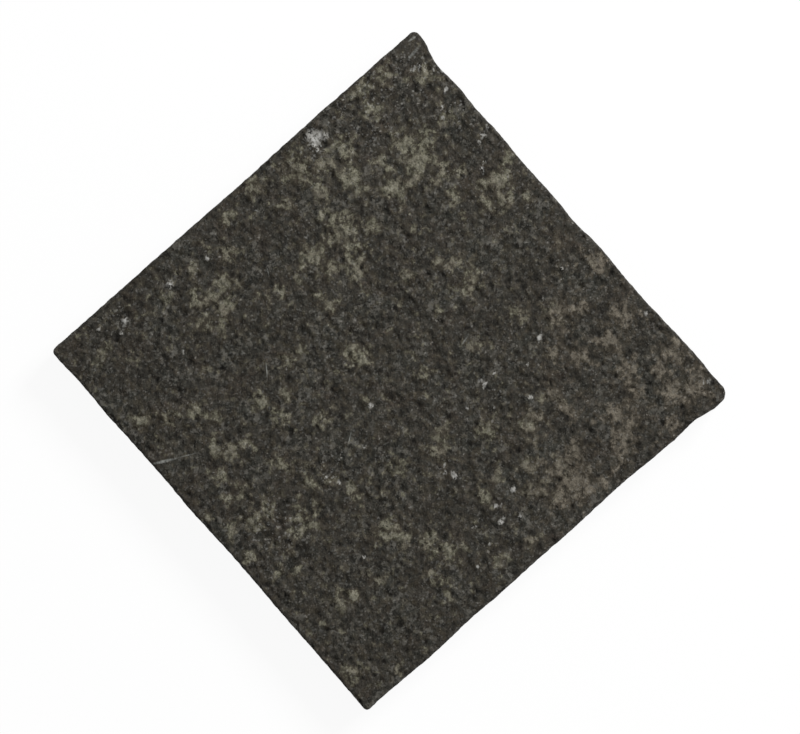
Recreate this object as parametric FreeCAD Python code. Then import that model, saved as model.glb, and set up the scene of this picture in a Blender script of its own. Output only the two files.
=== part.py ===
import FreeCAD, Part
import os

# One square limestone tile, cut from a slab in one piece.
# Millimetres. X runs west to east and Y south to north along the sides of the tile.
# Z runs up from the bed to the face. The origin is under the middle, on the bed.

# The tile
length = 100.0  # along X, between the nominal lines of the west and east sides
width = 100.0  # along Y, between the nominal lines of the south and north sides
thickness = 10.0  # from the bed to the face
face_arris = 0.7  # radius worn round the rim of the face
bed_arris = 0.3  # bevel round the rim of the bed

# Spurs: stone left standing at the end of a side, where the cut stopped short and the
# waste was snapped off. Each rises over its ramp and runs level to the corner.
east_spur_reach = 1.45  # at the north end of the east side
east_spur_level = 2.4
east_spur_ramp = 6.0
south_spur_reach = 0.8  # at the east end of the south side
south_spur_level = 4.4
south_spur_ramp = 3.8

# Corners: how far each stands outside the nominal lines, and its radius in plan.
# Two are clean cuts and two end in a spur.
south_west = {"out_x": 0.62, "out_y": 0.05, "radius": 1.0}
south_east = {"out_x": 0.2, "out_y": south_spur_reach, "radius": 2.2}
north_east = {"out_x": east_spur_reach, "out_y": -0.09, "radius": 1.3}
north_west = {"out_x": -0.15, "out_y": 0.03, "radius": 1.0}

# Waves of the sides, counter-clockwise: share of the side, and offset outwards.
south_waves = [
    (0.08, -0.13),
    (0.15, 0.14),
    (0.23, 0.06),
    (0.30, -0.18),
    (0.38, 0.03),
    (0.48, -0.12),
    (0.58, 0.0),
    (0.69, -0.28),
    (0.79, 0.05),
    (0.87, 0.12),
]
east_waves = [
    (0.035, -0.02),
    (0.085, 0.2),
    (0.19, 0.04),
    (0.34, 0.0),
    (0.42, 0.16),
    (0.46, -0.24),
    (0.54, -0.06),
    (0.62, -0.1),
    (0.74, 0.16),
    (0.79, 0.04),
    (0.86, 0.31),
    (0.90, -0.04),
]
north_waves = [
    (0.10, -0.05),
    (0.24, 0.02),
    (0.48, -0.18),
    (0.62, -0.02),
    (0.75, 0.04),
    (0.88, -0.04),
]
west_waves = [
    (0.04, -0.1),
    (0.09, -0.3),
    (0.18, -0.04),
    (0.27, -0.12),
    (0.38, -0.08),
    (0.42, 0.06),
    (0.58, -0.05),
    (0.70, 0.18),
    (0.78, 0.25),
    (0.92, 0.41),
]

SAME = 1e-6  # lengths closer than this are equal


def waves_along(side, waves):
    """The waves of a side as (distance along it, offset outwards)."""
    return [(share * side, out) for share, out in waves]


def spur(side, reach, level, ramp):
    """The points of a spur at the end of a side: its foot, its slope and its level run."""
    foot = side - level - ramp
    return [(foot, 0.0), (foot + ramp / 2, reach / 2), (side - level, reach), (side - level / 2, reach)]


def corner(east, north, place):
    """A corner of the plan, on the side of the origin that the two signs give."""
    return FreeCAD.Vector(east * (length / 2 + place["out_x"]), north * (width / 2 + place["out_y"]), 0)


def side_edge(start, points, end):
    """One smooth curve from corner to corner."""
    curve = Part.BSplineCurve()
    curve.interpolate([start] + points + [end])
    return curve.toShape()


def plan(sw, se, ne, nw):
    """The closed outline, one curve to each side."""
    x, y = length / 2, width / 2
    south = waves_along(length, south_waves)
    south += spur(length, south_spur_reach, south_spur_level, south_spur_ramp)
    east = waves_along(width, east_waves)
    east += spur(width, east_spur_reach, east_spur_level, east_spur_ramp)
    north = waves_along(length, north_waves)
    west = waves_along(width, west_waves)
    return Part.Wire(
        [
            side_edge(sw, [FreeCAD.Vector(along - x, -y - out, 0) for along, out in south], se),
            side_edge(se, [FreeCAD.Vector(x + out, along - y, 0) for along, out in east], ne),
            side_edge(ne, [FreeCAD.Vector(x - along, y + out, 0) for along, out in north], nw),
            side_edge(nw, [FreeCAD.Vector(-x - out, y - along, 0) for along, out in west], sw),
        ]
    )


def upright_at(solid, point):
    """The edge that stands over a corner of the plan."""
    up = FreeCAD.Vector(0, 0, 1)
    for edge in solid.Edges:
        if all(vertex.Point.distanceToLine(point, up) < SAME for vertex in edge.Vertexes):
            return edge


def rim(solid, z):
    """The edges round the face or the bed."""
    return [e for e in solid.Edges if abs(e.BoundBox.ZMin - z) < SAME and abs(e.BoundBox.ZMax - z) < SAME]


def limestone_tile():
    """The slab cut to its outline, then its corners and the rims of its face and bed eased."""
    sw, se = corner(-1, -1, south_west), corner(1, -1, south_east)
    ne, nw = corner(1, 1, north_east), corner(-1, 1, north_west)
    tile = Part.Face(plan(sw, se, ne, nw)).extrude(FreeCAD.Vector(0, 0, thickness))
    for point, place in ((sw, south_west), (se, south_east), (ne, north_east), (nw, north_west)):
        tile = tile.makeFillet(place["radius"], [upright_at(tile, point)])
    tile = tile.makeFillet(face_arris, rim(tile, thickness))
    return tile.makeChamfer(bed_arris, rim(tile, 0.0))


os.makedirs("parts", exist_ok=True)
limestone_tile().exportStep("parts/limestone_tile.step")
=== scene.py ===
import math

import bpy
import numpy as np
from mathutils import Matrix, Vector
from mathutils.bvhtree import BVHTree


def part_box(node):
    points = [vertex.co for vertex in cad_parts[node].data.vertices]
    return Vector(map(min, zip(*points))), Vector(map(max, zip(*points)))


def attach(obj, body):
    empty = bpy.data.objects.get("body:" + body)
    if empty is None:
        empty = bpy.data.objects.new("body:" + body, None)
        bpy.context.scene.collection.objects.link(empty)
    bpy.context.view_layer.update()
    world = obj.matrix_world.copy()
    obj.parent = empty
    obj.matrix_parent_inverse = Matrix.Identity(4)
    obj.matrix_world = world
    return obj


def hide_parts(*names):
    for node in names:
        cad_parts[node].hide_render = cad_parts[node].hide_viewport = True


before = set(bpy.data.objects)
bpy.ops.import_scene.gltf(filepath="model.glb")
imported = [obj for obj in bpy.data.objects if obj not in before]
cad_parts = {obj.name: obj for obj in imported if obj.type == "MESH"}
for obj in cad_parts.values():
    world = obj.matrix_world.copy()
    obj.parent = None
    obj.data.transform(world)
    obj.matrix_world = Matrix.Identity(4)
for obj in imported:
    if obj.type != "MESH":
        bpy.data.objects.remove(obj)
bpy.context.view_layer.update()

# A dark limestone tile: one dense mesh in the shape of the CAD solid, with its relief, and one
# stone material. Features of the face are placed in millimetres in the tile's own frame, seen
# from above: X to the east, Y to the north. The mesh is turned to metres when it is made.

NODE = "limestone_tile"
MM = 0.001

# ---------------------------------------------------------------------------------------------
# Size, read from the frame
# ---------------------------------------------------------------------------------------------
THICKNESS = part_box(NODE)[1][2] / MM  # the height of the face
FACE_ARRIS = 0.7  # as in the CAD solid
BED_ARRIS = 0.3

# Mesh density
SIDE_CELLS = 264  # cells along each side of the face
BED_CELLS = 33  # cells along each side of the bed, a divisor of SIDE_CELLS
ARRIS_ROWS = 4
WALL_ROWS = 15

# Relief: the weight of each part of it
BROAD_WAVES = 0.08
SWELL = 0.09
BUMPS = 0.22
ROUGH_BUMPS = 0.07  # more where the face is rough
SMOOTH_BUMPS = 0.16  # less where it is smooth
CRUST_RISE = 0.08
CRYSTAL_RISE = 0.06
PIT_DEPTH = 0.35
FACE_DROP = 0.25  # the middle of the relief under the CAD face
CHIP_DEPTH = 0.7
WALL_GRAIN = 0.05
WALL_WAVES = 0.03

# Noise
LATTICE = 512  # cells before the random numbers repeat
NOISE_UNIT = 0.27  # what plain gradient noise is divided by

# ---------------------------------------------------------------------------------------------
# What the face shows: x, y and radius
# ---------------------------------------------------------------------------------------------
TAUPE_PATCHES = [
    # north-east
    (14, 44, 3.6), (18.5, 42, 2.3), (24, 41, 2.2), (6.5, 40.5, 1.6), (15, 37.5, 1.7), (21, 36, 2.2),
    (21, 32.5, 2.0), (28, 34, 1.7), (34, 34, 2.8), (34, 29, 4.2), (38, 31, 2.4), (31, 26, 1.9),
    (26.5, 28, 3.2), (13, 28.5, 3.4), (4, 28.5, 2.8), (9, 29.5, 1.6), (5, 24, 2.2), (12, 24.5, 2.2),
    (17, 25, 2.0), (36, 23.5, 2.0), (39, 21.5, 1.4), (9.5, 22, 1.7), (8.5, 19, 1.4), (0, 18.5, 1.6),
    (33.5, 18.3, 1.8), (48.7, 17, 2.0), (44, 14.5, 2.6), (40.5, 16.5, 1.5), (39.5, 12, 1.9),
    (42.5, 11, 1.6), (35, 48, 2.4), (33.5, 43, 2.3), (40, 47, 1.8), (4.5, 48, 2.0), (47, 42, 2.0),
    (16.5, 13, 1.5), (22.7, 10.5, 1.1), (25, 8, 1.4), (27.5, 6, 1.5), (24, 2, 2.0), (26.5, 3.5, 1.3),
    (16.5, 3.4, 1.1), (12, 33.5, 1.7), (44.5, 31.5, 1.4), (46, 8, 1.4), (23.5, 19, 1.0),
    # south-east
    (7.5, -22.5, 2.4), (17.2, -7.8, 1.3), (28, -9, 1.7), (34, -13.5, 2.4), (38, -16, 1.6), (48.5, -12, 2.0),
    (22, -26, 2.0), (15, -27.5, 2.4), (22.7, -30.5, 1.8), (13, -31, 1.6), (9, -34, 1.6),
    (44.5, -24, 2.7), (38.5, -25.5, 2.3), (32, -24, 1.9), (39, -28.3, 1.0), (37, -33, 2.1),
    (47.5, -36.5, 2.6), (43, -37.3, 1.9), (36, -37, 1.6), (30, -38.5, 2.4), (13, -39, 2.9),
    (18.5, -38.3, 2.0), (6.5, -38.5, 1.9), (14, -43, 4.0), (9, -43.5, 2.2), (27, -43, 2.5),
    (32, -41.5, 1.6), (41, -42.3, 2.6), (45.5, -44.5, 2.6), (49, -43, 1.5), (18, -47, 1.3),
    (24, -46, 1.5), (2, -31.5, 1.4), (28, -20.3, 1.5), (37, -48, 1.5), (5, -5, 1.2), (44, -3, 1.3),
    # south-west
    (-46, -2, 1.4), (-42, -4.7, 2.0), (-38, -4, 1.7), (-28, -6.5, 1.7), (-29, -1, 1.4),
    (-26, -3, 1.4), (-34, -10, 1.6), (-37, -12, 1.6), (-33, -13.5, 1.4), (-40, -14, 1.2),
    (-44.5, -16, 1.3), (-42, -18.5, 1.4), (-22, -13.7, 1.4), (-13.5, -15.5, 1.4), (-10.5, -16.2, 1.3),
    (-3.5, -19.3, 1.8), (-0.5, -18, 1.7), (-22, -24.5, 2.6), (-21, -28, 1.7), (-40, -29, 2.1),
    (-36, -29.7, 1.3), (-30.5, -31, 1.7), (-17, -32, 2.2), (-16.2, -36.5, 2.1), (-12.8, -37.5, 1.1),
    (-21.5, -37.8, 1.4), (-20.5, -40.2, 1.0), (-48, -41.5, 1.7), (-45.7, -43, 1.1), (-40, -47.5, 1.4),
    (-9, -45.5, 1.5), (-1, -46, 1.4), (-22, -43, 1.5), (-27.5, -35, 1.1), (-2, -32.5, 1.3),
    (-48, -10, 1.6), (-30, -11.5, 1.4), (-24, -8.5, 1.5),
    # north-west
    (-42, 42.3, 1.9), (-24, 42, 1.4), (-20.5, 38.3, 1.8), (-17.5, 36, 1.9), (-13.5, 36.7, 2.0),
    (-16.3, 33.3, 2.2), (-11.8, 35, 1.4), (-22, 33.5, 1.7), (-20, 30.3, 1.6), (-16.5, 43, 1.5),
    (-9, 41, 1.6), (-3.5, 46.7, 1.4), (-45.5, 27, 2.0), (-49, 30.5, 0.9), (-40, 23, 1.5),
    (-36, 20.5, 1.6), (-34, 17, 1.5), (-37.5, 12, 2.0), (-36, 9.5, 1.6), (-41.5, 7.5, 1.6),
    (-24, 13, 1.7), (-23, 8, 1.8), (-18, 11, 1.8), (-14, 16, 1.5), (-11.5, 15, 1.2), (-6, 28, 1.5),
    (-1, 27.5, 1.2), (-30.5, 2, 1.7), (-39, 2, 1.8), (-43, 2.5, 1.3), (-32.5, 8.5, 1.3),
    (-2.5, 5.7, 1.9), (-3, 8.3, 1.5), (-17, 2, 1.4), (-49, 2, 1.4), (-28, 25, 1.0), (-0.5, 22, 1.2),
]
WHITE_CRYSTALS = [
    (20.6, 46.6, 1.1), (20.0, 45.7, 0.7), (22.0, 46.2, 0.6), (19.5, 44.6, 0.5), (-34.3, 44.5, 0.6),
    (-33.7, 44.7, 0.5), (-22.2, 44, 0.6), (-12.7, 43, 0.55), (48, 36.3, 0.55), (-4.1, -25.4, 0.6),
    (3, -35.6, 0.55), (-3.2, -39, 0.6), (13.2, -14.2, 0.45), (28.2, -15.6, 0.5), (-8.2, -36, 0.65),
    (13.4, -15.3, 0.4), (22.6, -17.9, 0.5), (13.9, -18.9, 0.45), (18.7, -23.6, 0.45), (7, -16.5, 0.45),
    (48.1, -26.4, 0.5), (0.2, -40.7, 0.5), (45.2, 34, 0.5), (42.8, 18.8, 0.45), (-29.8, -25.7, 0.45),
    (-24.5, -7.8, 0.45), (-7.4, -2.8, 0.45), (-2, -35.8, 0.45), (16.3, -14.8, 0.4), (-36.4, 43, 0.4),
]
PALE_SPECKS = [
    (20.6, 46.9, 2.2), (22.3, 46.0, 1.4), (-34.3, 44.5, 1.0), (-22.2, 44, 1.0),
    (-36.5, 43, 0.5), (-39.5, 46.7, 0.5), (45, 34, 0.45),
    (47.4, 23.8, 0.9), (45.8, 23.5, 0.7), (49.4, 24.5, 0.6), (42.8, 18.8, 0.4), (44.3, 19.7, 0.4),
    (43.5, 32.3, 0.55), (46.8, 43.7, 0.9), (48.7, 41, 0.5), (45.4, 43.9, 0.5), (13.2, -14.2, 0.6),
    (12.9, -15.4, 0.55), (13.9, -19.2, 0.5), (13.9, -17.6, 0.4), (7, -16.5, 0.5), (11, -20, 0.45),
    (27.6, -15.8, 0.6), (28.8, -15.3, 0.55), (22.6, -17.9, 0.5), (18.6, -23.5, 0.5), (18.7, -21, 0.4),
    (48, -26.5, 0.55), (3, -35.6, 0.75), (0.5, -40.7, 0.5), (40.2, -9.5, 0.4), (41.3, -7.8, 0.4),
    (-4.1, -25.0, 0.7), (-4.1, -26.0, 0.6), (-5.2, -23.5, 0.5), (-4.3, -22.2, 0.45), (-2.8, -22, 0.4),
    (-3.2, -39, 1.0), (-2.2, -38.6, 0.5), (-8.2, -36, 0.7), (-1.7, -35.8, 0.55), (-0.7, -36.4, 0.45),
    (-8.2, -41, 0.55), (-13, -42.7, 0.45), (-29.8, -25.6, 0.45), (-7.5, -2.7, 0.5), (-14.2, -8.2, 0.5),
    (-24.5, -7.7, 0.5), (-23.2, -10.2, 0.45), (-28, 32.7, 0.35), (-29.2, 31.4, 0.4), (-5.5, 7.8, 0.4),
    (-7.5, 10.8, 0.45), (34.2, -10, 0.45), (48.6, -45.7, 0.5), (47.6, -45.4, 0.4), (5.8, 32.5, 0.4),
]
# Where the face is rougher and more speckled than elsewhere
ROUGH_PLACES = [
    (32, 47, 13), (45, 42, 6), (20, 47, 6), (47, 30, 5), (-34, 44.5, 3), (-40, -8, 7), (-22, -8, 5),
]
# Smoother places: the facet of the north-east spur, an oval facet and a faint even area
SMOOTH_PLACES = [(48.2, 48.0, 3.2), (16.5, -7, 2.2), (3.5, 19, 3.0)]
# Pale veins and scratches: two ends, half the width, and how strongly each shows
PALE_LINES = [
    ((-50.6, 18.9), (-44.6, 15.6), 0.42, 0.9), ((-45.5, 16.2), (-40.6, 13.6), 0.2, 0.5),
    ((-17.4, 19.1), (-20.2, 15.4), 0.17, 0.8), ((-13.6, -3.7), (-16.7, -5.9), 0.17, 0.8),
    ((45.6, 46.0), (50.6, 46.7), 0.5, 0.5), ((48.4, 48.9), (51.2, 48.6), 0.35, 0.8),
    ((49.8, 40.2), (50.4, 38.7), 0.5, 0.9), ((41.8, 17.4), (43.2, 18.9), 0.2, 0.7),
    ((14.6, -6.0), (17.8, -5.2), 0.25, 0.5),
    ((2.1, 42.8), (0.9, 44.6), 0.2, 0.7), ((-4.4, 33.6), (-5.6, 31.2), 0.15, 0.6),
]


# ---------------------------------------------------------------------------------------------
# Noise over points in millimetres
# ---------------------------------------------------------------------------------------------
def smooth_noise(points, size, seed):
    """Gradient noise: blobs of about this size, up and down alike."""
    rng = np.random.default_rng(seed)
    order = rng.permutation(LATTICE)
    slopes = rng.normal(size=(LATTICE, 3))
    slopes /= np.linalg.norm(slopes, axis=1)[:, None]
    scaled = points / size
    cell = np.floor(scaled).astype(int)
    part = scaled - cell
    ease = part**3 * (part * (part * 6 - 15) + 10)
    total = np.zeros(len(points))
    for corner in np.ndindex(2, 2, 2):
        x, y, z = ((cell + corner) % LATTICE).T
        key = order[(order[(order[x] + y) % LATTICE] + z) % LATTICE]
        weight = np.prod(np.where(corner, ease, 1 - ease), axis=1)
        total += weight * (slopes[key] * (part - corner)).sum(1)
    return total / NOISE_UNIT


def layered_noise(points, size, layers, seed, keep=0.55):
    """Layers of noise, each half the size of the last and keep times its height, spread about 0.7."""
    heights = keep ** np.arange(layers)
    total = sum(h * smooth_noise(points, size / 2**k, seed + k) for k, h in enumerate(heights))
    return total / math.sqrt((heights**2).sum())


def scattered(points, size, seed):
    """Distance to the nearest of points scattered one to a cell, and that point's own random number."""
    rng = np.random.default_rng(seed)
    order = rng.permutation(LATTICE)
    jitter = rng.random((LATTICE, 4))
    scaled = points / size
    cell = np.floor(scaled).astype(int)
    best = np.full(len(points), 9.0)
    own = np.zeros(len(points))
    for step in np.ndindex(3, 3, 3):
        at = cell + step - 1
        x, y, z = (at % LATTICE).T
        key = order[(order[(order[x] + y) % LATTICE] + z) % LATTICE]
        gap = np.linalg.norm(at + jitter[key, :3] - scaled, axis=1)
        nearer = gap < best
        best[nearer] = gap[nearer]
        own[nearer] = jitter[key[nearer], 3]
    return best * size, own


def ramp(value, start, end):
    """0 up to start, 1 from end, and an even curve between."""
    t = np.clip((value - start) / (end - start), 0, 1)
    return t * t * (3 - 2 * t)


def discs(points, places):
    """The highest of 1 - distance / radius over the places, no lower than -1."""
    best = np.full(len(points), -1.0)
    for x, y, radius in places:
        best = np.maximum(best, 1 - np.hypot(points[:, 0] - x, points[:, 1] - y) / radius)
    return best


# ---------------------------------------------------------------------------------------------
# The tile's shape before its relief, in millimetres
# ---------------------------------------------------------------------------------------------
def square_ring(cells):
    """Points round the square from -1 to 1, cells to each side, counter-clockwise from the south-west."""
    run = np.linspace(-1, 1, cells + 1)[:-1]
    one = np.ones(cells)
    sides = [(run, -one), (one, run), (-run, one), (-one, -run)]
    return np.concatenate([np.stack(side, 1) for side in sides])


def cad_outline():
    """Where rays from the middle meet the CAD solid's wall, and the outward normals there."""
    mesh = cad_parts[NODE].data
    tree = BVHTree.FromPolygons([v.co for v in mesh.vertices], [p.vertices for p in mesh.polygons])
    middle = Vector((0, 0, THICKNESS / 2 * MM))
    hits = [tree.ray_cast(middle, Vector((x, y, 0)))[0] for x, y in square_ring(SIDE_CELLS)]
    points = np.array(hits)[:, :2] / MM
    along = np.roll(points, -2, axis=0) - np.roll(points, 2, axis=0)
    outward = np.stack([along[:, 1], -along[:, 0]], 1)
    return points, outward / np.linalg.norm(outward, axis=1)[:, None]


def filled(ring, cells):
    """A grid of cells x cells that fills a ring of points, as nested copies of the ring."""
    u, v = np.meshgrid(np.linspace(-1, 1, cells + 1), np.linspace(-1, 1, cells + 1))
    reach = np.maximum(np.abs(u), np.abs(v))
    safe = np.maximum(reach, 1e-9)
    u, v = u / safe, v / safe
    west, east, south = u <= -1 + 1e-9, u >= 1 - 1e-9, v <= -1 + 1e-9
    place = np.where(south, (u + 1) / 2, np.where(east, 1 + (v + 1) / 2, 2 + (1 - u) / 2))
    place = np.where(west & ~south, 3 + (1 - v) / 2, place) * len(ring) / 4
    first = np.floor(place).astype(int)
    part = (place - first)[..., None]
    edge = ring[first % len(ring)] * (1 - part) + ring[(first + 1) % len(ring)] * part
    return (edge * reach[..., None]).reshape(-1, 2)


def grid_quads(cells, up):
    """The faces of a filled grid."""
    across = cells + 1
    first = (np.arange(cells)[:, None] * across + np.arange(cells)).ravel()
    quads = np.stack([first, first + 1, first + across + 1, first + across], 1)
    return quads if up else quads[:, ::-1]


def grid_rim(cells):
    """The vertices round the edge of a filled grid, in the order of square_ring."""
    grid = np.arange((cells + 1) ** 2).reshape(cells + 1, cells + 1)
    return np.concatenate([grid[0, :-1], grid[:-1, -1], grid[-1, :0:-1], grid[:0:-1, 0]])


def tile_shape():
    """Vertices, normals, faces, and how far each vertex is from the face: 0 on it, 1 on walls and bed."""
    outline, outward = cad_outline()
    face = filled(outline - outward * FACE_ARRIS, SIDE_CELLS)
    points = [np.column_stack([face, np.full(len(face), THICKNESS)])]
    normals = [np.tile([0.0, 0.0, 1.0], (len(face), 1))]
    cut = [np.zeros(len(face))]
    faces = [grid_quads(SIDE_CELLS, up=True)]

    rows = []  # inset, height, and the tilt of the normal from straight up
    for step in range(1, ARRIS_ROWS + 1):
        tilt = math.pi / 2 * step / ARRIS_ROWS
        rows.append((FACE_ARRIS * (1 - math.sin(tilt)), THICKNESS - FACE_ARRIS * (1 - math.cos(tilt)), tilt))
    wall_top, wall_foot = THICKNESS - FACE_ARRIS, BED_ARRIS
    for step in range(1, WALL_ROWS + 1):
        rows.append((0.0, wall_top + (wall_foot - wall_top) * step / WALL_ROWS, math.pi / 2))
    rows.append((BED_ARRIS, 0.0, math.pi * 3 / 4))

    ring = grid_rim(SIDE_CELLS)
    count = len(face)
    for inset, height, tilt in rows:
        points.append(np.column_stack([outline - outward * inset, np.full(len(outline), height)]))
        normals.append(np.column_stack([outward * math.sin(tilt), np.full(len(outline), math.cos(tilt))]))
        cut.append(np.full(len(outline), min(1.0, tilt / (math.pi / 2))))
        below = np.arange(count, count + len(outline))
        faces.append(np.stack([ring, below, np.roll(below, -1), np.roll(ring, -1)], 1))
        ring, count = below, count + len(outline)

    # The bed: a coarse grid inside the last ring, joined to it by faces of several edges.
    fan = SIDE_CELLS // BED_CELLS
    bed = filled((outline - outward * 3 * BED_ARRIS)[::fan], BED_CELLS)
    points.append(np.column_stack([bed, np.zeros(len(bed))]))
    normals.append(np.tile([0.0, 0.0, -1.0], (len(bed), 1)))
    cut.append(np.ones(len(bed)))
    faces.append(grid_quads(BED_CELLS, up=False) + count)
    inner = grid_rim(BED_CELLS) + count
    fans = []
    for k in range(len(inner)):
        outer = [ring[(fan * k + step) % len(ring)] for step in range(fan + 1)]
        fans.append([inner[k], inner[(k + 1) % len(inner)]] + outer[::-1])
    polygons = [list(quad) for quads in faces for quad in quads] + fans
    return np.concatenate(points), np.concatenate(normals), polygons, np.concatenate(cut)


# ---------------------------------------------------------------------------------------------
# Relief and the fields that the material reads
# ---------------------------------------------------------------------------------------------
def warped(points, reach, size, seed):
    """The points pushed about by noise, so that shapes placed on them get ragged edges."""
    push = [layered_noise(points, size, 3, seed + 10 * axis) for axis in range(2)]
    return points + reach * np.column_stack(push + [np.zeros(len(points))])


def taupe_cover(points):
    """How strongly the taupe crust shows: over about 0 it covers the dark stone."""
    ragged = warped(warped(points, 0.6, 2.2, 100), 0.28, 0.8, 115)
    placed = np.maximum(discs(ragged, TAUPE_PATCHES), -0.48)
    return placed + 0.45 * layered_noise(points, 1.7, 3, 130, keep=0.7)


def calcite(points):
    """1 in the white calcite crystals and less in the pale specks."""
    ragged = warped(points, 0.16, 0.6, 200)
    crystals = ramp(discs(ragged, WHITE_CRYSTALS), -0.1, 0.5)
    return np.maximum(crystals, 0.7 * ramp(discs(ragged, PALE_SPECKS), -0.2, 0.5))


def rough_and_smooth(points):
    """1 in the middle of the rougher places, and 1 in the smoother ones."""
    rough = ramp(discs(warped(points, 1.2, 4.0, 250), ROUGH_PLACES), -0.1, 0.6)
    return rough, ramp(discs(warped(points, 0.3, 1.5, 270), SMOOTH_PLACES), 0.0, 0.35)


def pits(points):
    """1 at the bottom of the small holes in the face."""
    gap, own = scattered(warped(points, 0.28, 0.9, 310), 1.5, 300)
    radius = 0.3 + 0.6 * own**2
    return ramp(1 - gap / radius, 0, 0.8) * (own > 0.25)


def make_tile():
    """The mesh with its relief, and the fields as attributes."""
    points, normals, polygons, cut = tile_shape()
    on_face = 1 - cut
    cover, white, pit = taupe_cover(points), calcite(points), pits(points)
    rough, smooth = rough_and_smooth(points)
    broad = layered_noise(points, 14, 3, 1)
    bumps = layered_noise(points, 1.7, 3, 10, keep=0.7)
    crust = ramp(cover, -0.05, 0.25)
    pit *= 1 - smooth
    bumps *= BUMPS + ROUGH_BUMPS * rough - SMOOTH_BUMPS * smooth
    swell = layered_noise(points, 5, 2, 5)
    relief = BROAD_WAVES * broad + SWELL * swell + bumps
    relief = relief + CRUST_RISE * crust + CRYSTAL_RISE * white - PIT_DEPTH * pit - FACE_DROP
    chips = ramp(layered_noise(points, 2.2, 3, 20), 0.5, 1.8)
    rim = np.sin(np.clip(cut, 0, 1) * math.pi)
    side = WALL_GRAIN * layered_noise(points, 1.6, 3, 30) + WALL_WAVES * layered_noise(points, 9, 2, 40)
    height = on_face * relief + cut * side - CHIP_DEPTH * rim * chips
    flat_bed = points[:, 2] < BED_ARRIS / 2
    height[flat_bed] = 0.0
    points = points + normals * height[:, None]

    mesh = bpy.data.meshes.new("tile_stone")
    mesh.from_pydata((points * MM).tolist(), [], polygons)
    mesh.polygons.foreach_set("use_smooth", [True] * len(mesh.polygons))
    on_top = {"cover": cover + 1, "white": white, "pit": pit, "rough": rough, "smooth": smooth}
    fields = {name: values * on_face for name, values in on_top.items()} | {"cut": cut}
    for name, values in fields.items():
        mesh.attributes.new(name, "FLOAT", "POINT").data.foreach_set("value", values.astype(np.float32))
    mesh.update()
    tile = bpy.data.objects.new("tile_stone", mesh)
    bpy.context.scene.collection.objects.link(tile)
    return tile


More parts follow.
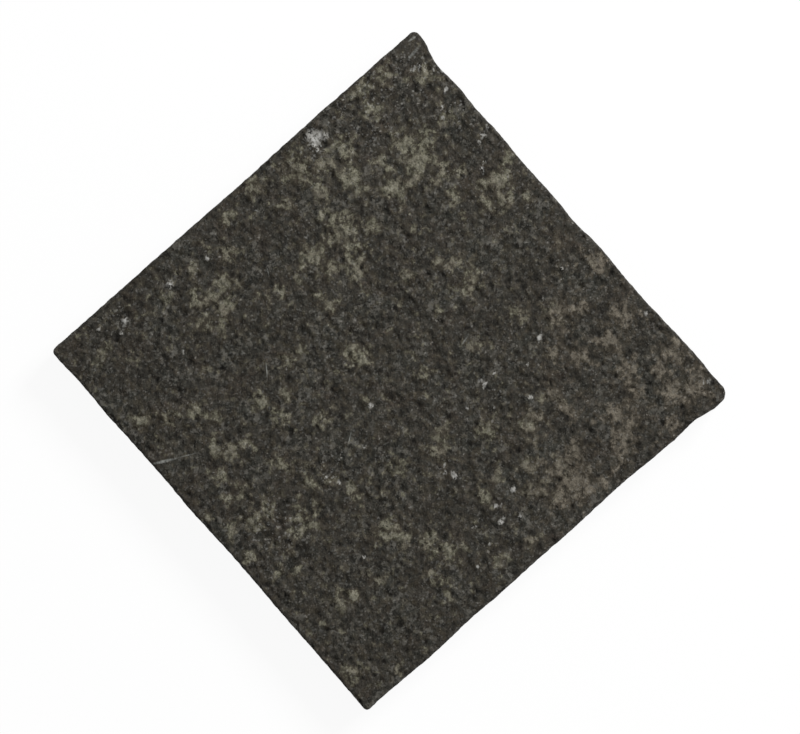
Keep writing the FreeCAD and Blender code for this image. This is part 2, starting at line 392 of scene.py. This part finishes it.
# ---------------------------------------------------------------------------------------------
# The stone
# ---------------------------------------------------------------------------------------------
class Nodes:
    """Short names for the nodes of one material."""

    def __init__(self, name):
        self.material = bpy.data.materials.new(name)
        self.material.use_nodes = True
        self.tree = self.material.node_tree
        self.shader = self.tree.nodes["Principled BSDF"]
        coordinates = self.tree.nodes.new("ShaderNodeTexCoord")
        to_mm = self.add("ShaderNodeVectorMath", operation="SCALE")
        self.link(coordinates.outputs["Object"], to_mm.inputs[0])
        to_mm.inputs["Scale"].default_value = 1 / MM
        self.place = to_mm.outputs[0]

    def add(self, kind, **settings):
        node = self.tree.nodes.new(kind)
        for name, value in settings.items():
            setattr(node, name, value)
        return node

    def link(self, source, target):
        self.tree.links.new(source, target)

    def put(self, value, socket):
        if isinstance(value, bpy.types.NodeSocket):
            self.link(value, socket)
        else:
            socket.default_value = value

    def noise(self, size, detail=4.0, roughness=0.55, place=None):
        """Noise from 0 to 1 with its largest shapes about this many millimetres across."""
        node = self.add("ShaderNodeTexNoise")
        self.link(place or self.place, node.inputs["Vector"])
        node.inputs["Scale"].default_value = 1 / size
        node.inputs["Detail"].default_value = detail
        node.inputs["Roughness"].default_value = roughness
        return node.outputs["Fac"]

    def grains(self, size, place=None):
        """Grains this many millimetres apart: distance to the middle of each, and random numbers."""
        node = self.add("ShaderNodeTexVoronoi")
        self.link(place or self.place, node.inputs["Vector"])
        node.inputs["Scale"].default_value = 1 / size
        own = self.add("ShaderNodeSeparateColor")
        self.link(node.outputs["Color"], own.inputs[0])
        return node.outputs["Distance"], own.outputs[0], own.outputs[1]

    def shaken(self, size, reach):
        """Places pushed about by noise, so that grains read there have ragged edges."""
        node = self.add("ShaderNodeTexNoise")
        self.link(self.place, node.inputs["Vector"])
        node.inputs["Scale"].default_value = 1 / size
        node.inputs["Detail"].default_value = 2.0
        push = self.add("ShaderNodeVectorMath", operation="MULTIPLY_ADD")
        self.link(node.outputs["Color"], push.inputs[0])
        push.inputs[1].default_value = (reach, reach, reach)
        self.link(self.place, push.inputs[2])
        return push.outputs[0]

    def stretched(self, turn, length, width, depth):
        """Places squeezed so that noise read there runs in streaks, turned from the X axis by this."""
        node = self.add("ShaderNodeMapping", vector_type="TEXTURE")
        self.link(self.place, node.inputs["Vector"])
        node.inputs["Rotation"].default_value = (0, 0, math.radians(turn))
        node.inputs["Scale"].default_value = (length, width, depth)
        return node.outputs[0]

    def streak(self, start, end, half_width):
        """1 in the middle of a thin straight mark on the face, falling to 0 at its sides and ends."""
        middle, along = (np.array(start) + end) / 2, np.subtract(end, start)
        node = self.add("ShaderNodeMapping", vector_type="TEXTURE")
        self.link(self.place, node.inputs["Vector"])
        node.inputs["Location"].default_value = (*middle, THICKNESS)
        node.inputs["Rotation"].default_value = (0, 0, math.atan2(along[1], along[0]))
        node.inputs["Scale"].default_value = (math.hypot(*along) / 2, half_width, 2.0)
        ball = self.add("ShaderNodeTexGradient", gradient_type="SPHERICAL")
        self.link(node.outputs[0], ball.inputs[0])
        return ball.outputs["Fac"]

    def sum(self, *parts):
        """The sum of value times weight over the parts."""
        total = 0.0
        for value, weight in parts:
            total = self.math("MULTIPLY_ADD", value, weight, total)
        return total

    def attribute(self, name):
        return self.add("ShaderNodeAttribute", attribute_name=name).outputs["Fac"]

    def math(self, operation, a, b=0.0, c=0.0, clamp=False):
        node = self.add("ShaderNodeMath", operation=operation, use_clamp=clamp)
        for value, socket in zip((a, b, c), node.inputs):
            self.put(value, socket)
        return node.outputs[0]

    def ramp(self, value, start, end, low=0.0, high=1.0):
        """value from start to end read as low to high, with an even curve."""
        node = self.add("ShaderNodeMapRange", interpolation_type="SMOOTHSTEP")
        for given, socket in zip((value, start, end, low, high), node.inputs):
            self.put(given, socket)
        return node.outputs[0]

    def mix(self, share, a, b, blend="MIX"):
        node = self.add("ShaderNodeMix", data_type="RGBA", blend_type=blend)
        for value, name in ((share, "Factor_Float"), (a, "A_Color"), (b, "B_Color")):
            self.put(value, next(s for s in node.inputs if s.identifier == name))
        return next(s for s in node.outputs if s.identifier == "Result_Color")


def colour(red, green, blue):
    """A colour socket's value, from linear red, green and blue."""
    return (red, green, blue, 1.0)


def stone_material():
    n = Nodes("limestone")
    cover = n.math("SUBTRACT", n.attribute("cover"), 1.0)
    white, pit, rough = n.attribute("white"), n.attribute("pit"), n.attribute("rough")
    smooth, cut = n.attribute("smooth"), n.attribute("cut")

    # The dark matrix: ragged grains of dark and lighter grey-brown, brushed one way.
    ragged = n.shaken(0.7, 1.0)
    _, scale_own, scale_hue = n.grains(1.3, ragged)
    grain_gap, grain_own, grain_hue = n.grains(0.5, ragged)
    coarse = n.noise(2.8, detail=5, roughness=0.65)
    grain = n.noise(0.42, detail=2, roughness=0.6)
    brushed = n.noise(1.0, detail=3, place=n.stretched(50, 3.0, 0.45, 0.45))
    tone = n.sum((coarse, 0.36), (scale_own, 0.12), (grain_own, 0.17), (grain, 0.21), (brushed, 0.14))
    dark = n.mix(n.ramp(tone, 0.34, 0.54), colour(0.0125, 0.0115, 0.0090), colour(0.0330, 0.0306, 0.0246))
    pale = n.ramp(n.math("ADD", tone, n.math("MULTIPLY", rough, 0.035)), 0.53, 0.70)
    matrix = n.mix(pale, dark, colour(0.068, 0.063, 0.053))
    # Grains and areas that lean to cool grey and to warm brown.
    cool = n.sum((n.ramp(n.noise(9, detail=3), 0.48, 0.62), 0.7), (n.ramp(scale_hue, 0.6, 1.0), 0.4))
    matrix = n.mix(cool, matrix, colour(0.93, 1.00, 1.02), blend="MULTIPLY")
    warm = n.sum((n.ramp(n.noise(5.3, detail=2), 0.5, 0.66), 0.4), (n.ramp(grain_hue, 0.6, 1.0), 0.6))
    matrix = n.mix(warm, matrix, colour(1.13, 0.98, 0.90), blend="MULTIPLY")
    matrix = n.mix(n.math("MULTIPLY", smooth, 0.65), matrix, colour(0.034, 0.031, 0.025))

    # Soft grey flecks, more of them in some places than in others.
    crowd = n.ramp(n.noise(9, detail=2), 0.42, 0.58, -0.07, 0.03)
    soft = n.noise(1.7, detail=3, roughness=0.6)
    fleck = n.sum((soft, 0.85), (grain_own, 0.1), (scale_own, 0.05), (crowd, 1.0))
    matrix = n.mix(n.ramp(fleck, 0.555, 0.64, 0.0, 0.8), matrix, colour(0.089, 0.0845, 0.0725))

    # The taupe crust: ragged edges, broken by dark gaps, paler in the middle, with brown stone round
    # about. It leans to pink and shows less strongly towards the south-east.
    broken = n.noise(0.8, detail=4, roughness=0.7)
    shift = n.sum((scale_own, 0.6), (grain_own, 0.5), (broken, 2.0), (1.58, -1.0))
    depth = n.math("ADD", cover, shift)
    patchy = n.ramp(n.noise(3.6, detail=2), 0.3, 0.6, 0.6, 1.0)
    fine = n.noise(0.55, detail=3, roughness=0.7)
    gaps = n.ramp(n.sum((fine, 1.0), (grain_own, 0.15)), 0.42, 0.60, 0.42, 1.0)
    crust = n.math("MULTIPLY", n.ramp(depth, -0.1, 0.5), n.math("MULTIPLY", patchy, gaps))
    matrix = n.mix(n.ramp(cover, -0.7, 0.1, 0.0, 0.35), matrix, colour(0.066, 0.054, 0.036))
    south_east = n.add("ShaderNodeVectorMath", operation="DOT_PRODUCT")
    n.link(n.place, south_east.inputs[0])
    south_east.inputs[1].default_value = (1, -1, 0)
    pink = n.sum((n.noise(3.1, detail=3), 1.0), (n.ramp(south_east.outputs["Value"], 30, 70), 0.5))
    pink = n.ramp(pink, 0.4, 0.9)
    crust = n.math("MULTIPLY", crust, n.ramp(pink, 0.0, 1.0, 1.0, 0.86))
    taupe = n.mix(pink, colour(0.104, 0.100, 0.068), colour(0.124, 0.107, 0.082))
    core = n.math("MULTIPLY", n.ramp(depth, 0.2, 0.9), n.ramp(grain, 0.35, 0.6, 0.3, 1.0))
    taupe = n.mix(core, taupe, n.mix(pink, colour(0.208, 0.198, 0.152), colour(0.168, 0.148, 0.116)))
    stone = n.mix(crust, matrix, taupe)

    # Sawn walls and bed: a little paler and plainer, with fine level saw marks.
    saw_marks = n.noise(1.0, detail=3, place=n.stretched(0, 14.0, 14.0, 0.35))
    saw_tone = n.sum((coarse, 0.36), (scale_own, 0.14), (grain_own, 0.2), (grain, 0.22), (saw_marks, 0.08))
    sawn = n.mix(n.ramp(saw_tone, 0.36, 0.54), colour(0.0155, 0.0142, 0.0115), colour(0.045, 0.0415, 0.0345))
    sawn = n.mix(n.ramp(saw_tone, 0.55, 0.70), sawn, colour(0.112, 0.105, 0.090))
    stone = n.mix(n.ramp(cut, 0.3, 0.95, 0.0, 0.9), stone, sawn)

    # Pale grains, small near-black spots painted as the shade of tiny holes, then the calcite specks and the
    # veins and scratches, painted glints, and painted shade in the pits.
    spread = n.math("MAXIMUM", n.ramp(coarse, 0.35, 0.6, 0.25, 1.0), n.sum((rough, 1.5), (cut, 1.1)))
    for size, reach, least, strength in ((1.25, 0.24, 0.62, 0.60), (0.8, 0.26, 0.70, 0.55)):
        gap, own, _ = n.grains(size, ragged)
        fleck = n.math("MULTIPLY", n.ramp(gap, reach / 2, reach, 1.0, 0.0), n.ramp(own, least, 0.95))
        fleck = n.math("MULTIPLY", n.math("MULTIPLY", fleck, spread), strength)
        stone = n.mix(fleck, stone, colour(0.215, 0.205, 0.185))
        # Painted shade: near-black spots for the shade inside tiny holes, which have no relief of their own.
        painted_hole_shade = n.math("MULTIPLY", n.ramp(gap, reach / 2, reach, 1.0, 0.0), n.ramp(own, 0.3, 0.1))
        stone = n.mix(n.math("MULTIPLY", painted_hole_shade, 0.75), stone, colour(0.006, 0.0055, 0.0045))
    for start, end, half_width, strength in PALE_LINES:
        mark = n.ramp(n.streak(start, end, half_width), 0.0, 0.7, 0.0, strength)
        mark = n.math("MULTIPLY", mark, n.ramp(grain, 0.3, 0.55, 0.4, 1.0))
        stone = n.mix(mark, stone, colour(0.20, 0.205, 0.19))
    sparkle = n.ramp(n.math("ADD", grain_own, white), 0.75, 1.35)
    crystal = n.mix(n.ramp(white, 0.5, 1.0), colour(0.20, 0.195, 0.178), colour(0.34, 0.335, 0.315))
    stone = n.mix(n.math("MULTIPLY", sparkle, n.ramp(white, 0.05, 0.5)), stone, crystal)
    # Painted highlights: small bright glints painted into the colour, more of them in the rough places and
    # on the calcite.
    _, painted_glint, _ = n.grains(0.4)
    painted_glint = n.math("MULTIPLY", n.ramp(painted_glint, 0.9, 0.96), n.sum((rough, 0.14), (white, 0.5), (0.09, 1.0)))
    stone = n.mix(painted_glint, stone, colour(0.42, 0.42, 0.40))
    # Painted shade: the colour darkened at the bottoms of the pits, which are real hollows in the mesh.
    stone = n.mix(n.math("MULTIPLY", pit, 0.8), stone, colour(0.007, 0.006, 0.005))

    n.link(stone, n.shader.inputs["Base Color"])
    n.link(n.ramp(grain, 0.3, 0.7, 0.95, 0.72), n.shader.inputs["Roughness"])
    n.shader.inputs["Specular IOR Level"].default_value = 0.2

    marks = n.math("MULTIPLY", saw_marks, n.ramp(cut, 0.5, 1.0))
    height = n.sum((grain, 0.7), (n.noise(0.26, detail=1), 0.3), (brushed, 0.5), (marks, 0.3))
    bump = n.add("ShaderNodeBump")
    bump.inputs["Strength"].default_value = 1.0
    bump.inputs["Distance"].default_value = 0.26 * MM
    n.link(height, bump.inputs["Height"])
    n.link(bump.outputs[0], n.shader.inputs["Normal"])
    return n.material


# ---------------------------------------------------------------------------------------------
# Floor, light and camera
# ---------------------------------------------------------------------------------------------
TURN = math.radians(41.6)  # the tile's X axis, counter-clockwise from the picture's level
VIEW_RIGHT = Vector((math.cos(TURN), -math.sin(TURN), 0))
VIEW_UP = Vector((math.sin(TURN), math.cos(TURN), 0))
FRAME_WIDTH = 166.9 * MM  # what the camera takes in, at the height of the face
CAMERA_HEIGHT = 1.2  # above the face, so that the walls stay hidden
AIM_RIGHT = 2.3 * MM  # from the tile's middle to the middle of the picture
AIM_UP = 1.0 * MM
FLOOR_REACH = 6.0
NEAR, FAR = 0.1, 0.8  # from the tile's middle, where the floor starts and ends turning plain white
NEAR_GLOW, FAR_GLOW = 0.93, 1.0
KEY_ASIDE, KEY_HEIGHT = 0.78, 0.66
KEY_SIZE = 0.35
KEY_POWER = 12.0
WORLD_LIGHT = 0.32


def white_floor():
    """A white floor that shows white to the camera and still takes the tile's shadow."""
    corners = [(x * FLOOR_REACH, y * FLOOR_REACH, 0) for x, y in ((-1, -1), (1, -1), (1, 1), (-1, 1))]
    mesh = bpy.data.meshes.new("floor")
    mesh.from_pydata(corners, [], [(0, 1, 2, 3)])
    floor = bpy.data.objects.new("floor", mesh)
    bpy.context.scene.collection.objects.link(floor)
    material = bpy.data.materials.new("floor_white")
    material.use_nodes = True
    nodes, links = material.node_tree.nodes, material.node_tree.links
    diffuse = nodes["Principled BSDF"]
    diffuse.inputs["Base Color"].default_value = (0.95, 0.95, 0.95, 1)
    diffuse.inputs["Roughness"].default_value = 1.0
    diffuse.inputs["Specular IOR Level"].default_value = 0.0
    glow = nodes.new("ShaderNodeEmission")
    # Near the tile a small share is lit, so that the shadow shows, and far off it is plain white.
    place = nodes.new("ShaderNodeTexCoord")
    gap = nodes.new("ShaderNodeVectorMath")
    gap.operation = "LENGTH"
    links.new(place.outputs["Object"], gap.inputs[0])
    far = nodes.new("ShaderNodeMapRange")
    far.interpolation_type = "SMOOTHSTEP"
    ends = ((NEAR, "From Min"), (FAR, "From Max"), (NEAR_GLOW, "To Min"), (FAR_GLOW, "To Max"))
    for value, name in ends:
        far.inputs[name].default_value = value
    links.new(gap.outputs["Value"], far.inputs["Value"])
    path = nodes.new("ShaderNodeLightPath")
    share = nodes.new("ShaderNodeMath")
    share.operation = "MULTIPLY"
    links.new(far.outputs[0], share.inputs[1])
    links.new(path.outputs["Is Camera Ray"], share.inputs[0])
    mix = nodes.new("ShaderNodeMixShader")
    links.new(share.outputs[0], mix.inputs[0])
    links.new(diffuse.outputs[0], mix.inputs[1])
    links.new(glow.outputs[0], mix.inputs[2])
    links.new(mix.outputs[0], nodes["Material Output"].inputs["Surface"])
    mesh.materials.append(material)


def softbox(name, place, size, power):
    """A square lamp that faces the tile."""
    lamp = bpy.data.lights.new(name, "AREA")
    lamp.shape = "SQUARE"
    lamp.size = size
    lamp.energy = power
    holder = bpy.data.objects.new(name, lamp)
    holder.location = place
    holder.rotation_euler = (-Vector(place)).to_track_quat("-Z", "Y").to_euler()
    bpy.context.scene.collection.objects.link(holder)


def light():
    """A key from the picture's upper right, and an even white world."""
    key = (VIEW_RIGHT + VIEW_UP).normalized()
    softbox("key", key * KEY_ASIDE + Vector((0, 0, KEY_HEIGHT)), KEY_SIZE, KEY_POWER)
    world = bpy.data.worlds.new("studio")
    world.use_nodes = True
    nodes, links = world.node_tree.nodes, world.node_tree.links
    path = nodes.new("ShaderNodeLightPath")
    strength = nodes.new("ShaderNodeMapRange")
    strength.inputs["To Min"].default_value = WORLD_LIGHT
    strength.inputs["To Max"].default_value = 1.0
    links.new(path.outputs["Is Camera Ray"], strength.inputs["Value"])
    background = nodes["Background"]
    background.inputs["Color"].default_value = (1, 1, 1, 1)
    links.new(strength.outputs[0], background.inputs["Strength"])
    bpy.context.scene.world = world


def camera():
    """Straight above the tile, which lies a little left of and below the middle of the picture."""
    data = bpy.data.cameras.new("camera")
    data.sensor_width = 36
    data.lens = data.sensor_width * CAMERA_HEIGHT / FRAME_WIDTH
    data.clip_end = 20
    holder = bpy.data.objects.new("camera", data)
    aim = AIM_RIGHT * VIEW_RIGHT + AIM_UP * VIEW_UP
    holder.location = aim + Vector((0, 0, CAMERA_HEIGHT + THICKNESS * MM))
    holder.rotation_euler = (0, 0, -TURN)
    bpy.context.scene.collection.objects.link(holder)
    bpy.context.scene.camera = holder


# ---------------------------------------------------------------------------------------------
tile = make_tile()
tile.data.materials.append(stone_material())
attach(tile, "root")
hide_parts(NODE)
white_floor()
light()
camera()
bpy.context.scene.view_settings.view_transform = "Standard"
